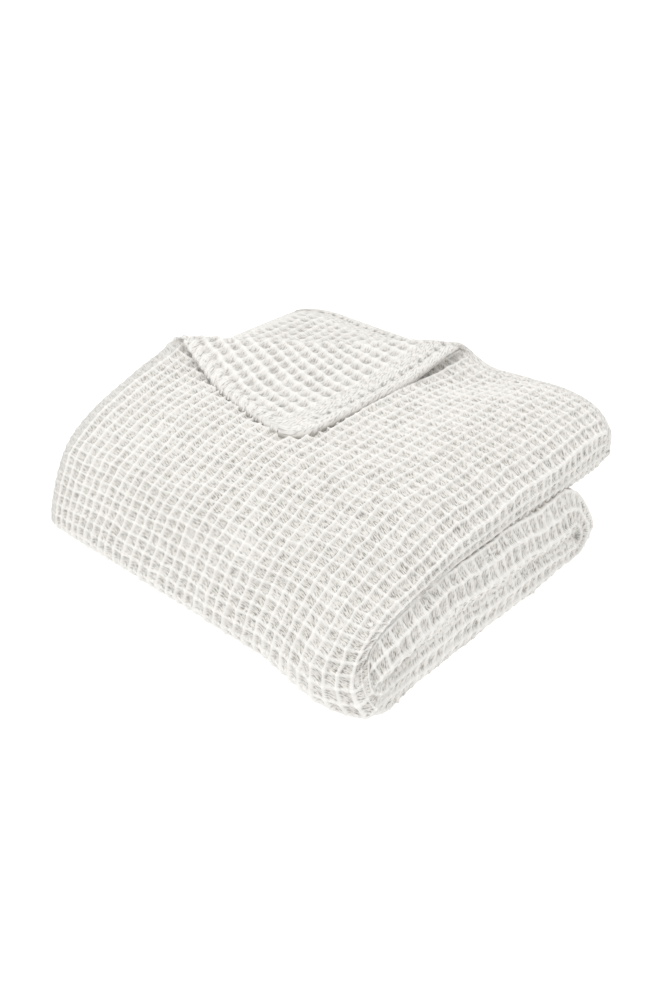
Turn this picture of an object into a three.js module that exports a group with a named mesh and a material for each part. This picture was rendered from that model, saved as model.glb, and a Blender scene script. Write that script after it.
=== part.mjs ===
// Waffle-weave throw blanket, folded to a square stack with one corner of its top layer turned over.
// Millimetres, +Z up, resting on z = 0. X runs from the hem side (0) to the outer fold (FOLD_WIDTH),
// Y from the big front bend to the free end at the back.
import * as THREE from "three";

// Cloth
const THICKNESS = 2.6; // the woven sheet, pressed in the stack
const CLOTH_COLOUR = 0xe9e6e1;
const CLOTH_ROUGHNESS = 0.95;

// Quarter fold: four layers across X
const FOLD_WIDTH = 425; // hem side to the crown of the outer turn
const LAYER_PITCH = 10.8; // layer to layer, middle to middle
const LOBE_EDGE = 6.5; // radius of the two edges of the outer turn, which is flat between them
const LOBE_FLAT = 3 * LAYER_PITCH - 2 * LOBE_EDGE;
const TIGHT_RADIUS = LAYER_PITCH / 2; // half turn between two neighbouring layers
const TURN_X = FOLD_WIDTH - LOBE_EDGE; // where the outer turn starts
const INNER_TURN_X = TURN_X - 14;
const INNER_FOLD_X = 8; // crown of the tight fold on the hem side
const INNER_HEM_X = 16; // hem of the innermost layer
const LOBE_PUFF = 0.8; // how far the outer turn swells past its layers
const PUFF_REACH = 70; // length over which it swells

// C-fold: the four layers run along Y as top panel, front bend, bottom panel, back bend, middle panel
const TOP_Z = 118.6; // outer layer of the top panel before it sags
const BASE_Z = THICKNESS / 2; // outer layer of the bottom panel
const FRONT_RADIUS = (TOP_Z - BASE_Z) / 2;
const BACK_RADIUS = 37.5;
const FRONT_EDGE_Y = -14; // nose of the front bend
const FRONT_BEND_Y = FRONT_EDGE_Y + FRONT_RADIUS + BASE_Z;
const BACK_BEND_Y = 293;
const END_Y = 400; // free end of the top panel
const TUCK_Y = 28; // free end of the middle panel, inside the front bend
const TUCK_TAPER = { reach: 70, share: 0.25 }; // its layers lie closer towards that end
const BEND_SQUEEZE = 0.4; // share of the layer pitch lost in the front bend
const BEND_PRESS = 0.5; // share of the thickness the inner layers lose there
const LOBE_FULL = { from: 330, reach: 80, squeeze: 0.15, turn: 120 }; // the bend stays fuller in the lobe
const BEND_REACH = 0.75 * Math.PI * FRONT_RADIUS; // how far from its nose the bend presses the layers

// Sag of the stack: shares of the height
const FRONT_SAG = { from: 150, share: 0.46, most: 1.3 };
const LOBE_STAND = { x: 340, reach: 70, y: -10, depth: 45, power: 0.5 }; // the lower lobes sag less
const LEFT_FRONT_SAG = { share: 0.09, quick: 1.2 };
const BACK_DIP = { from: 230, share: 0.14, x: 265, width: 40, most: 1.2 };
const BACK_LEFT_RISE = { from: 115, reach: 150, share: 0.11 };
const LEFT_EDGE_RISE = { from: 150, reach: 100, share: 0.075, end: 340, endReach: 90, power: 6 };
const LOWER_SQUEEZE = { left: 0.12, from: 250, reach: 150 }; // the lower layers lie closer
const LOBE_SQUEEZE = { y: [60, 110, 160, 200, 285, 400], share: [-0.1, -0.1, 0, 0.08, 0.5, 0.8] };
const SHOULDER = { from: 300, above: 64, drop: 0.52, soft: 10, power: 2.6 };

// Outline of the stack seen from above
const LIP_RECESS = { amount: 20, from: 40, reach: 50, power: 6 }; // the lobes lean back towards the top
const FRONT_LEFT_ROUND = { from: 90, reach: 110, width: 160, amount: 32, most: 1.2 };
const FRONT_LEFT_PULL = { from: 60, reach: 80, width: 330, amount: 9, power: 0.6 };
const BACK_RIGHT_ROUND = { from: 250, reach: 150, x: 260, amount: 21, power: 5, most: 1.2 };
const FRONT_RIGHT_PUSH = { from: 60, reach: 70, x: 290, width: 80, amount: 7 };
const FRONT_RIGHT_ROUND = { from: 50, reach: 65, x: 340, amount: 17, power: 4 };
const LOWER_LOBE_TURN = {
  below: 70,
  power: 4,
  y: [-14, 10, 50, 140, 220, 320],
  amount: [-5, -7, -12, -12, -7, -4],
};
const TUCK_RECESS = { reach: 40, y: 80, depth: 70, amount: 8, power: 6 };

// Turned corner of the top layer
const FLAP_LEFT_Y = 167; // where the fold line meets the hem side
const FLAP_BACK_X = 254; // where it meets the free end
const FLAP_ROLL = { middle: 4.8, left: 8.5, right: 9.5 }; // radius of the soft roll
const FLAP_REST = 5.4; // height of the flap over the layer it lies on
const FLAP_SETTLE = 42; // distance behind the roll at which it lies down
const FLAP_STRETCH = 1.13;
const FLAP_SHEAR = 0.12;
const FLAP_SPREAD = 7; // how far the sides of the flap belly out
const LIFT = { left: 1, right: 0, reach: 70, least: 0.3 }; // the roll lifts the layer it comes from
const FLAP_CORNER = { radius: 21, reach: 60 };
const HUMP_CORNER = { radius: 38, reach: 110 }; // corner of the inner layer, behind the roll
const END_ROUND = { reach: 38, depth: 16, share: 0.45, clear: 8, fade: 40 }; // rounded free end

// Sampling
const NORMAL_STEP = 0.4;
const CORNER_ROWS = 3; // rows over a rounded corner of the cloth
const FLAP_ROWS = 8; // rows across the flap
const ROLL_END = FLAP_BACK_X - 64; // from here on the rows lie closer, up to the end of the roll
const ROLL_END_ROWS = 8;
const FLAP_END = FLAP_BACK_X + 16;
const SHOULDER_ROWS = 8; // rows from the flap to the outer turn
const TURN_ROWS = 8;
const TIGHT_ROWS = 4;
const PUFF_ROWS = 4;
const HIDDEN_ROWS = 5;
const INNER_ROWS = 9; // the inner layer shows behind the turned corner
const ROLL_STEPS = 8;
const BEND_STEPS = 8;
const PANEL_STEPS = 6;
const END_STEPS = 3;
const TOP_STEPS = 10;
const FLAP_STEP = 20; // spacing of the lines behind the roll
const LIFT_STEPS = 4;
const LEAST_STEP = 7; // closest two neighbouring points of a row may lie

const clamp = THREE.MathUtils.clamp;
const lerp = THREE.MathUtils.lerp;

function ease(value) {
  return THREE.MathUtils.smoothstep(value, 0, 1);
}

// Value of a table at a place, straight between its columns and level beyond them.
function between(places, values, place) {
  let next = 1;
  while (next < places.length - 1 && place > places[next]) next += 1;
  const share = (place - places[next - 1]) / (places[next] - places[next - 1]);
  return lerp(values[next - 1], values[next], clamp(share, 0, 1));
}

// The quarter fold as runs and half turns. depth counts from the outer layer inwards.
const SECTION = [
  { run: true, fromX: 0, toX: TURN_X, depth: 0, swell: -1 },
  {
    run: false,
    x: TURN_X,
    radius: LOBE_EDGE,
    flat: LOBE_FLAT,
    depth: 1.5 * LAYER_PITCH,
    side: 1,
    way: -1,
    swell: LOBE_PUFF,
    rows: TURN_ROWS,
  },
  {
    run: true,
    fromX: TURN_X,
    toX: TURN_X - PUFF_REACH,
    depth: 3 * LAYER_PITCH,
    swell: 1,
    rows: PUFF_ROWS,
  },
  {
    run: true,
    fromX: TURN_X - PUFF_REACH,
    toX: INNER_FOLD_X + TIGHT_RADIUS,
    depth: 3 * LAYER_PITCH,
    swell: 0,
    rows: HIDDEN_ROWS,
  },
  {
    run: false,
    x: INNER_FOLD_X + TIGHT_RADIUS,
    radius: TIGHT_RADIUS,
    flat: 0,
    depth: 2.5 * LAYER_PITCH,
    side: -1,
    way: 1,
    swell: 0,
    rows: TIGHT_ROWS,
  },
  {
    run: true,
    fromX: INNER_FOLD_X + TIGHT_RADIUS,
    toX: INNER_TURN_X,
    depth: 2 * LAYER_PITCH,
    swell: 0,
    rows: HIDDEN_ROWS,
  },
  {
    run: false,
    x: INNER_TURN_X,
    radius: TIGHT_RADIUS,
    flat: 0,
    depth: 1.5 * LAYER_PITCH,
    side: 1,
    way: 1,
    swell: 0,
    rows: TIGHT_ROWS,
  },
  { run: true, fromX: INNER_TURN_X, toX: INNER_HEM_X, depth: LAYER_PITCH, swell: 0 },
];
for (const piece of SECTION) {
  piece.length = piece.run ? Math.abs(piece.toX - piece.fromX) : Math.PI * piece.radius + piece.flat;
}
const SECTION_LENGTH = SECTION.reduce((sum, piece) => sum + piece.length, 0);

// The C-fold: where each panel or bend starts along the cloth.
const TOP_LENGTH = END_Y - FRONT_BEND_Y;
const FRONT_END = TOP_LENGTH + Math.PI * FRONT_RADIUS;
const BOTTOM_END = FRONT_END + BACK_BEND_Y - FRONT_BEND_Y;
const BACK_END = BOTTOM_END + Math.PI * BACK_RADIUS;
const CLOTH_END = BACK_END + BACK_BEND_Y - TUCK_Y;
const NOSE = (TOP_LENGTH + FRONT_END) / 2;

// Position across the quarter fold at length s from the outer hem.
function sectionAt(s) {
  let start = 0;
  let index = 0;
  while (index < SECTION.length - 1 && s >= start + SECTION[index].length) {
    start += SECTION[index].length;
    index += 1;
  }
  const piece = SECTION[index];
  const length = s - start;
  if (piece.run) {
    const x = lerp(piece.fromX, piece.toX, length / piece.length);
    const puff = LOBE_PUFF * ease((x - TURN_X + PUFF_REACH) / PUFF_REACH);
    return { x, depth: piece.depth + piece.swell * puff };
  }
  const half = piece.flat / 2;
  const level = clamp((Math.PI * piece.radius) / 2 + half - length, -half, half);
  const angle = (length + level - half) / piece.radius;
  const grow = 1 + piece.swell / (half + piece.radius);
  return {
    x: piece.x + piece.side * piece.radius * Math.sin(angle),
    depth: piece.depth + piece.way * grow * (level + piece.radius * Math.cos(angle)),
  };
}

// How far length t lies inside the front bend: 1 at its nose, 0 outside it.
function inFrontBend(t) {
  return ease(1 - Math.abs(t - NOSE) / BEND_REACH);
}

// Position along the C-fold at length t from the free end of the top panel.
function pathAt(t, x, layerDepth) {
  const lobe = ease((x - LOBE_FULL.from) / LOBE_FULL.reach);
  const full = LOBE_FULL.squeeze * (1 - ease((t - NOSE) / LOBE_FULL.turn));
  const bent = layerDepth * (1 - lerp(BEND_SQUEEZE, full, lobe) * inFrontBend(t));
  const taper = TUCK_TAPER.share * ease((t - CLOTH_END + TUCK_TAPER.reach) / TUCK_TAPER.reach);
  const depth = lerp(bent, 1.5 * LAYER_PITCH, taper);
  if (t < TOP_LENGTH) return { y: END_Y - t, z: TOP_Z - depth };
  if (t < FRONT_END) {
    const angle = (t - TOP_LENGTH) / FRONT_RADIUS;
    const radius = FRONT_RADIUS - depth;
    const middle = BASE_Z + FRONT_RADIUS;
    return { y: FRONT_BEND_Y - radius * Math.sin(angle), z: middle + radius * Math.cos(angle) };
  }
  if (t < BOTTOM_END) return { y: FRONT_BEND_Y + t - FRONT_END, z: BASE_Z + depth };
  if (t < BACK_END) {
    const angle = (t - BOTTOM_END) / BACK_RADIUS;
    const radius = BACK_RADIUS - depth;
    const middle = BASE_Z + BACK_RADIUS;
    return { y: BACK_BEND_Y + radius * Math.sin(angle), z: middle - radius * Math.cos(angle) };
  }
  return { y: BACK_BEND_Y - (t - BACK_END), z: BASE_Z + 2 * BACK_RADIUS - depth };
}

// The height a point settles to under the weight of the stack.
function settledHeight(x, y, z) {
  const full = TOP_Z - BASE_Z;
  const level = Math.max(z - BASE_Z, 0) / full;
  const front = clamp((FRONT_SAG.from - y) / FRONT_SAG.from, 0, FRONT_SAG.most);
  const back = clamp((y - BACK_DIP.from) / (END_Y - BACK_DIP.from), 0, BACK_DIP.most);
  const left = clamp(1 - x / FOLD_WIDTH, 0, 1);
  const right = ease((x - LOWER_SQUEEZE.from) / LOWER_SQUEEZE.reach);
  const lower = lerp(LOWER_SQUEEZE.left, between(LOBE_SQUEEZE.y, LOBE_SQUEEZE.share, y), right);
  const lobe = ease((x - LOBE_STAND.x) / LOBE_STAND.reach);
  const stand = LOBE_STAND.power * lobe * ease((y - LOBE_STAND.y) / LOBE_STAND.depth);
  const dip = BACK_DIP.share * back ** 2 * Math.exp(-(((x - BACK_DIP.x) / BACK_DIP.width) ** 2));
  const backLeft = ease((y - BACK_LEFT_RISE.from) / BACK_LEFT_RISE.reach);
  const edgeStart = ease((y - LEFT_EDGE_RISE.from) / LEFT_EDGE_RISE.reach);
  const edgeEnd = 1 - ease((y - LEFT_EDGE_RISE.end) / LEFT_EDGE_RISE.endReach);
  let rise = full * ((1 - lower) * level + lower * level ** 2);
  rise *= 1 - FRONT_SAG.share * front ** 2 * level ** stand;
  rise *= 1 - LEFT_FRONT_SAG.share * left ** 2 * ease(LEFT_FRONT_SAG.quick * front);
  rise *= 1 - dip + BACK_LEFT_RISE.share * left * backLeft;
  rise *= 1 + LEFT_EDGE_RISE.share * left ** LEFT_EDGE_RISE.power * edgeStart * edgeEnd;
  const over = Math.max(rise - SHOULDER.above, 0);
  const out = clamp((x - SHOULDER.from) / (FOLD_WIDTH - SHOULDER.from), 0, 1) ** SHOULDER.power;
  return BASE_Z + rise - (SHOULDER.drop * out * over ** 2) / (over + SHOULDER.soft);
}

// The uneven outline: rounded corners, lobes that lean back and the turned lower lobes.
function settledOutline(x, y, z) {
  const out = clamp(x / FOLD_WIDTH, 0, 1);
  const lip = clamp((z - LIP_RECESS.from) / LIP_RECESS.reach, 0, 1) * out ** LIP_RECESS.power;
  const near = clamp((FRONT_LEFT_ROUND.from - y) / FRONT_LEFT_ROUND.reach, 0, FRONT_LEFT_ROUND.most);
  const nearLeft = clamp(1 - x / FRONT_LEFT_ROUND.width, 0, 1);
  const low = (1 - ease(z / LOWER_LOBE_TURN.below)) * out ** LOWER_LOBE_TURN.power;
  const turn = between(LOWER_LOBE_TURN.y, LOWER_LOBE_TURN.amount, y);
  const far = clamp((y - BACK_RIGHT_ROUND.from) / BACK_RIGHT_ROUND.reach, 0, BACK_RIGHT_ROUND.most);
  const farOut = clamp((x - BACK_RIGHT_ROUND.x) / (FOLD_WIDTH - BACK_RIGHT_ROUND.x), 0, 1);
  const pull = ease((FRONT_LEFT_PULL.from - y) / FRONT_LEFT_PULL.reach);
  const pullLeft = clamp(1 - x / FRONT_LEFT_PULL.width, 0, 1) ** FRONT_LEFT_PULL.power;
  const push = ease((FRONT_RIGHT_PUSH.from - y) / FRONT_RIGHT_PUSH.reach);
  const pushRight = ease((x - FRONT_RIGHT_PUSH.x) / FRONT_RIGHT_PUSH.width);
  const corner = clamp((FRONT_RIGHT_ROUND.from - y) / FRONT_RIGHT_ROUND.reach, 0, 1);
  const cornerOut = clamp((x - FRONT_RIGHT_ROUND.x) / (FOLD_WIDTH - FRONT_RIGHT_ROUND.x), 0, 1);
  let placedY = y - BACK_RIGHT_ROUND.amount * far ** 2 * farOut ** BACK_RIGHT_ROUND.power;
  placedY += FRONT_LEFT_PULL.amount * pull * pullLeft;
  placedY -= FRONT_RIGHT_PUSH.amount * push * pushRight;
  placedY += FRONT_RIGHT_ROUND.amount * corner ** 2 * cornerOut ** FRONT_RIGHT_ROUND.power;
  let placedX = x - LIP_RECESS.amount * lip + turn * low;
  placedX += FRONT_LEFT_ROUND.amount * near ** 2 * nearLeft ** 2;
  return { x: placedX, y: placedY };
}

// The turned corner, in the frame of its fold line: along runs with the line, across into the corner.
const foldStart = new THREE.Vector2(0, FLAP_LEFT_Y);
const foldLine = new THREE.Vector2(FLAP_BACK_X, END_Y).sub(foldStart);
const foldSpan = foldLine.length();
foldLine.normalize();
const foldNormal = new THREE.Vector2(-foldLine.y, foldLine.x);
const flapLength = (END_Y - FLAP_LEFT_Y) * foldNormal.y;

function acrossFold(s, t) {
  return new THREE.Vector2(s, END_Y - t).sub(foldStart).dot(foldNormal);
}

function flapPoint(s, t) {
  const flat = new THREE.Vector2(s, END_Y - t).sub(foldStart);
  const across = flat.dot(foldNormal);
  let along = flat.dot(foldLine);
  const share = clamp(along / foldSpan, 0, 1);
  const ends = lerp(FLAP_ROLL.left, FLAP_ROLL.right, share);
  const radius = lerp(ends, FLAP_ROLL.middle, Math.sin(Math.PI * share));
  const atEnds = lerp(LIFT.least, 1, Math.cos(Math.PI * share) ** 2);
  const lift = lerp(LIFT.left, LIFT.right, share) * atEnds;
  const liftAt = (distance) => lift * ease((distance + LIFT.reach) / LIFT.reach);
  const after = across - Math.PI * radius;
  let reach = across;
  let height = liftAt(across);
  if (across > 0) {
    const angle = Math.min(across / radius, Math.PI);
    reach = radius * Math.sin(angle);
    height = lift + radius * (1 - Math.cos(angle));
  }
  if (after > 0) {
    reach = -after * FLAP_STRETCH;
    const falling = lerp(lift + 2 * radius, FLAP_REST, ease(after / FLAP_SETTLE));
    height = Math.max(falling, liftAt(reach) + FLAP_REST);
    const belly = Math.sin(Math.PI * clamp(across / flapLength, 0, 1));
    const side = s / Math.max(s + (t * FLAP_BACK_X) / (END_Y - FLAP_LEFT_Y), 1);
    along += FLAP_SPREAD * belly * lerp(-1, 1, clamp(side, 0, 1)) - FLAP_SHEAR * after;
  }
  const x = foldStart.x + along * foldLine.x + reach * foldNormal.x;
  const y = foldStart.y + along * foldLine.y + reach * foldNormal.y;
  const placed = settledOutline(x, y, TOP_Z);
  return new THREE.Vector3(placed.x, placed.y, settledHeight(x, y, TOP_Z) + height);
}

// Length t along the cloth where one of its corners is rounded, at a distance from its side edge.
function roundedCorner(t, edge, corner) {
  if (t >= corner.reach) return t;
  const inside = clamp(1 - edge / corner.radius, 0, 1);
  const start = corner.radius * (1 - Math.sqrt(1 - inside ** 2));
  return start + t * (1 - start / corner.reach);
}

// How far the free end of the top panel is rounded over at length t, at a distance from the turned corner.
function endDrop(t, fromFold, depth) {
  if (t >= END_ROUND.reach || fromFold <= 0) return 0;
  const near = 1 - Math.max(t, 0) / END_ROUND.reach;
  const share = END_ROUND.share * ease((fromFold - END_ROUND.clear) / END_ROUND.fade);
  return share * (1 - Math.sqrt(1 - near ** 2)) * (END_ROUND.depth - depth);
}

// Middle of the cloth at length s across and flatT along it.
function clothPoint(s, flatT) {
  let t = roundedCorner(flatT, s, FLAP_CORNER);
  t = roundedCorner(t, SECTION_LENGTH - s, HUMP_CORNER);
  const { x, depth } = sectionAt(s);
  const onLayer = s < TURN_X;
  const drop = endDrop(t, onLayer ? -acrossFold(s, t) : FOLD_WIDTH, depth);
  if (onLayer && t < TOP_LENGTH && acrossFold(s, t) > -LIFT.reach) {
    const point = flapPoint(s, t);
    point.z -= drop;
    return point;
  }
  const { y, z } = pathAt(t, x, depth);
  const placed = settledOutline(x, y, z);
  const tucked =
    ease((t - BACK_END + TUCK_RECESS.reach) / TUCK_RECESS.reach) *
    clamp(x / FOLD_WIDTH, 0, 1) ** TUCK_RECESS.power *
    ease((TUCK_RECESS.y - y) / TUCK_RECESS.depth);
  const placedX = placed.x - TUCK_RECESS.amount * tucked;
  return new THREE.Vector3(placedX, placed.y, settledHeight(x, y, z) - drop);
}

// Direction out of the outer face of the cloth.
function clothNormal(s, t) {
  const beforeS = clothPoint(Math.max(s - NORMAL_STEP, 0), t);
  const afterS = clothPoint(Math.min(s + NORMAL_STEP, SECTION_LENGTH), t);
  const beforeT = clothPoint(s, Math.max(t - NORMAL_STEP, 0));
  const afterT = clothPoint(s, Math.min(t + NORMAL_STEP, CLOTH_END));
  return afterT.sub(beforeT).cross(afterS.sub(beforeS)).normalize();
}

function thicknessAt(s, t) {
  const inside = clamp(sectionAt(s).depth / LAYER_PITCH, 0, 1);
  return THICKNESS * (1 - BEND_PRESS * inside * inFrontBend(t));
}

function spread(from, to, steps) {
  return Array.from({ length: steps }, (_, step) => lerp(from, to, (step + 1) / steps));
}

// Distances from a side edge of the cloth, closer at the edge, that follow a rounded corner.
function cornerSteps(radius) {
  return spread(0, Math.PI / 2, CORNER_ROWS).map((angle) => radius * (1 - Math.cos(angle)));
}

// Lengths s of the rows, from the outer hem to the inner one.
function rowLengths() {
  const rows = [
    0,
    ...cornerSteps(FLAP_CORNER.radius),
    ...spread(FLAP_CORNER.radius, ROLL_END, FLAP_ROWS),
    ...spread(ROLL_END, FLAP_END, ROLL_END_ROWS),
    ...spread(FLAP_END, TURN_X, SHOULDER_ROWS),
  ];
  let start = SECTION[0].length;
  for (const piece of SECTION.slice(1, -1)) {
    rows.push(...spread(start, start + piece.length, piece.rows));
    start += piece.length;
  }
  const corner = cornerSteps(HUMP_CORNER.radius).map((step) => SECTION_LENGTH - step).reverse();
  rows.push(...spread(start, corner[0], INNER_ROWS), ...corner.slice(1), SECTION_LENGTH);
  return rows;
}

// Lines of a row that follow the turned corner: distances across the fold line, from the tip inwards.
function foldDistances() {
  const rollLength = Math.PI * FLAP_ROLL.right;
  const tip = acrossFold(0, 0);
  const behind = spread(rollLength, tip, Math.round((tip - rollLength) / FLAP_STEP)).reverse();
  const roll = spread(0, rollLength, ROLL_STEPS).reverse();
  return [...behind, ...roll, 0, ...spread(0, -LIFT.reach, LIFT_STEPS)];
}

// Points of one row: t along the cloth, and a key that pairs it with the points of the next row.
function rowPoints(s) {
  const fixed = [
    ...spread(0, END_ROUND.reach, END_STEPS),
    ...spread(END_ROUND.reach, TOP_LENGTH, TOP_STEPS),
    ...spread(TOP_LENGTH, FRONT_END, BEND_STEPS),
    ...spread(FRONT_END, BOTTOM_END, PANEL_STEPS),
    ...spread(BOTTOM_END, BACK_END, PANEL_STEPS),
    ...spread(BACK_END, CLOTH_END, PANEL_STEPS),
  ];
  const points = [{ t: 0, key: -acrossFold(s, 0) }];
  const last = () => points[points.length - 1].t;
  for (const distance of foldDistances()) {
    const t = END_Y - foldStart.y - (distance - s * foldNormal.x) / foldNormal.y;
    if (t > last() + LEAST_STEP / 2 && t < TOP_LENGTH) points.push({ t, key: -distance });
  }
  for (const t of fixed) {
    if (t > last() + LEAST_STEP) points.push({ t, key: CLOTH_END + t });
  }
  return points;
}

function buildCloth() {
  const rows = rowLengths().map((s) => rowPoints(s).map((point) => ({ s, ...point })));
  const positions = [];
  const faces = [];
  for (const row of rows) {
    for (const point of row) {
      const middle = clothPoint(point.s, point.t);
      const offset = clothNormal(point.s, point.t).multiplyScalar(thicknessAt(point.s, point.t) / 2);
      point.outer = positions.length / 3;
      positions.push(...middle.clone().add(offset).toArray());
      point.inner = positions.length / 3;
      positions.push(...middle.clone().sub(offset).toArray());
    }
  }
  const patch = (a, b, c) => {
    faces.push(a.outer, b.outer, c.outer);
    faces.push(a.inner, c.inner, b.inner);
  };
  const rim = (a, b) => {
    faces.push(a.outer, b.inner, a.inner);
    faces.push(a.outer, b.outer, b.inner);
  };
  for (let index = 0; index + 1 < rows.length; index += 1) {
    const here = rows[index];
    const next = rows[index + 1];
    let i = 0;
    let j = 0;
    while (i + 1 < here.length || j + 1 < next.length) {
      const nextDone = j + 1 >= next.length;
      if (nextDone || (i + 1 < here.length && here[i + 1].key <= next[j + 1].key)) {
        patch(here[i], here[i + 1], next[j]);
        i += 1;
      } else {
        patch(here[i], next[j + 1], next[j]);
        j += 1;
      }
    }
    rim(here[0], next[0]);
    rim(next[next.length - 1], here[here.length - 1]);
  }
  const first = rows[0];
  const final = rows[rows.length - 1];
  for (let i = 0; i + 1 < first.length; i += 1) rim(first[i + 1], first[i]);
  for (let i = 0; i + 1 < final.length; i += 1) rim(final[i], final[i + 1]);
  const geometry = new THREE.BufferGeometry();
  geometry.setAttribute("position", new THREE.Float32BufferAttribute(positions, 3));
  geometry.setIndex(faces);
  geometry.computeVertexNormals();
  return geometry;
}

const geometry = buildCloth();
geometry.computeBoundingBox();
const middle = geometry.boundingBox.getCenter(new THREE.Vector3());
geometry.translate(-middle.x, -middle.y, -geometry.boundingBox.min.z);

const blanket = new THREE.Mesh(
  geometry,
  new THREE.MeshStandardMaterial({ color: CLOTH_COLOUR, roughness: CLOTH_ROUGHNESS, metalness: 0 }),
);
blanket.name = "blanket";

const part = new THREE.Group();
part.name = "folded_waffle_throw";
part.add(blanket);

export default part;
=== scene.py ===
"""Cotton waffle throw, folded to a square stack with one corner of its top layer turned over.

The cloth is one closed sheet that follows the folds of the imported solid. The waffle cells, the turned
hem and the looped selvedge are in its mesh; the yarn is in its material.
"""
import math

import bpy
import numpy as np
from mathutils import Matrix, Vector

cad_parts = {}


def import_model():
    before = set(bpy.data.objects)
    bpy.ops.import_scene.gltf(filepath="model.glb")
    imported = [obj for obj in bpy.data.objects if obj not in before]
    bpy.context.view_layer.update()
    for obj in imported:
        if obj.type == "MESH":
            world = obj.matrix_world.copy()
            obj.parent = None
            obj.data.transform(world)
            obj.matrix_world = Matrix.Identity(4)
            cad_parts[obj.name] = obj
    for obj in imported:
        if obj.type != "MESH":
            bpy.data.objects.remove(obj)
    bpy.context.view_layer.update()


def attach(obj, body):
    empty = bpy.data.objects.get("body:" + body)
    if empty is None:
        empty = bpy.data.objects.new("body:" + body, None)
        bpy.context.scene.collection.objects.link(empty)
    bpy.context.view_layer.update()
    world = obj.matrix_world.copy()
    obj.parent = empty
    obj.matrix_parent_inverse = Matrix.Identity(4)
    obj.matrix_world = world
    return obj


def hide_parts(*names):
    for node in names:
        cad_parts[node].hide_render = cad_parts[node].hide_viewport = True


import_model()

bl_info = {
    "name": "Folded waffle throw",
    "version": (1, 0, 0),
    "blender": (4, 5, 0),
    "location": "3D View > Sidebar > Throw",
    "description": "Cotton waffle throw, folded to a square stack with one corner turned over",
    "category": "Object",
}

MILLIMETRE = 0.001

# Quarter fold: four layers across X, in millimetres
THICKNESS = 2.6
FOLD_WIDTH = 425.0  # hem side to outer turn
LAYER_PITCH = 10.8
LOBE_EDGE = 6.5  # the outer turn is flat between two round edges
LOBE_FLAT = 3.0 * LAYER_PITCH - 2.0 * LOBE_EDGE
TIGHT_RADIUS = 0.5 * LAYER_PITCH
TURN_X = FOLD_WIDTH - LOBE_EDGE  # where the outer turn starts
INNER_TURN_X = TURN_X - 4.0
INNER_FOLD_X = 8.0
INNER_HEM_X = 16.0
LOBE_PUFF = 4.4  # swell of the outer turn
PUFF_REACH = 70.0

# C-fold: top panel, front bend, bottom panel, back bend and middle panel along Y
TOP_Z = 118.6
BASE_Z = 0.5 * THICKNESS
FRONT_RADIUS = 0.5 * (TOP_Z - BASE_Z)
BACK_RADIUS = 37.5
FRONT_EDGE_Y = -14.0  # nose of the front bend
FRONT_BEND_Y = FRONT_EDGE_Y + FRONT_RADIUS + BASE_Z
BACK_BEND_Y = 293.0
END_Y = 400.0
TUCK_Y = 0.0  # end of the middle panel
BEND_SQUEEZE = 0.4  # the front bend presses its layers together
BEND_PRESS = 0.5  # and its inner layers thinner
LOBE_FULL = {"start": 330.0, "reach": 80.0, "squeeze": 0.5, "turn": 120.0}  # its squeeze in the lobes
TUCK_SWELL = {"reach": 90.0, "share": 0.14, "depth": 2.9 * LAYER_PITCH}  # the tucked end fills the bend
BEND_REACH = 0.75 * math.pi * FRONT_RADIUS
TOP_LENGTH = END_Y - FRONT_BEND_Y
FRONT_END = TOP_LENGTH + math.pi * FRONT_RADIUS
BOTTOM_END = FRONT_END + BACK_BEND_Y - FRONT_BEND_Y
BACK_END = BOTTOM_END + math.pi * BACK_RADIUS
CLOTH_END = BACK_END + BACK_BEND_Y - TUCK_Y
NOSE = 0.5 * (TOP_LENGTH + FRONT_END)

# Middle of the solid's box seen from above, in the same lengths
STACK_MIDDLE = (212.1646, 190.1998, 0.0)

# Sag of the stack, as shares of its height
FRONT_SAG = {"start": 150.0, "reach": 150.0, "share": 0.46, "most": 1.3}
LOBE_STAND = {"x": 340.0, "reach": 70.0, "y": -10.0, "depth": 45.0, "power": 1.1}
LEFT_FRONT_SAG = {"share": 0.09, "quick": 1.2}
BACK_DIP = {"start": 230.0, "reach": 170.0, "share": 0.21, "x": 262.0, "width": 50.0, "most": 1.2}
BACK_LEFT_RISE = {"start": 115.0, "reach": 150.0, "share": 0.11}
LEFT_EDGE_RISE = {"start": 110.0, "reach": 100.0, "share": 0.085, "end": 340.0, "fade": 90.0, "power": 6}
LOWER_SQUEEZE = {"left": 0.12, "start": 250.0, "reach": 150.0}  # the lower layers lie closer
LOBE_SQUEEZE = {
    "y": (60.0, 110.0, 160.0, 200.0, 285.0, 400.0),
    "share": (-0.3, -0.25, 0.0, 0.08, 0.5, 0.8),
}
SHOULDER = {"start": 300.0, "above": 64.0, "drop": 0.52, "soft": 10.0, "power": 2.6}

# Outline of the stack seen from above
LIP_RECESS = {"amount": 20.0, "start": 40.0, "reach": 50.0, "power": 6}
FRONT_LEFT_ROUND = {"start": 90.0, "reach": 110.0, "width": 160.0, "amount": 32.0, "most": 1.2}
FRONT_LEFT_PULL = {"start": 60.0, "reach": 80.0, "width": 330.0, "amount": 9.0, "power": 0.6}
BACK_RIGHT_ROUND = {"start": 250.0, "reach": 150.0, "x": 260.0, "amount": 21.0, "power": 5.0, "most": 1.2}
FRONT_RIGHT_PUSH = {"start": 60.0, "reach": 70.0, "x": 305.0, "width": 85.0, "amount": 12.0}
FRONT_RIGHT_ROUND = {"start": 50.0, "reach": 65.0, "x": 340.0, "amount": 17.0, "power": 4.0}
LOWER_LOBE_TURN = {
    "below": 70.0,
    "y": (-14.0, 10.0, 50.0, 140.0, 220.0, 320.0),
    "amount": (-8.0, -9.0, -10.0, -6.0, -1.0, 1.0),
    "power": 4,
}
TUCK_RECESS = {"reach": 40.0, "y": 24.0, "depth": 24.0, "amount": 4.0, "power": 6}

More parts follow.
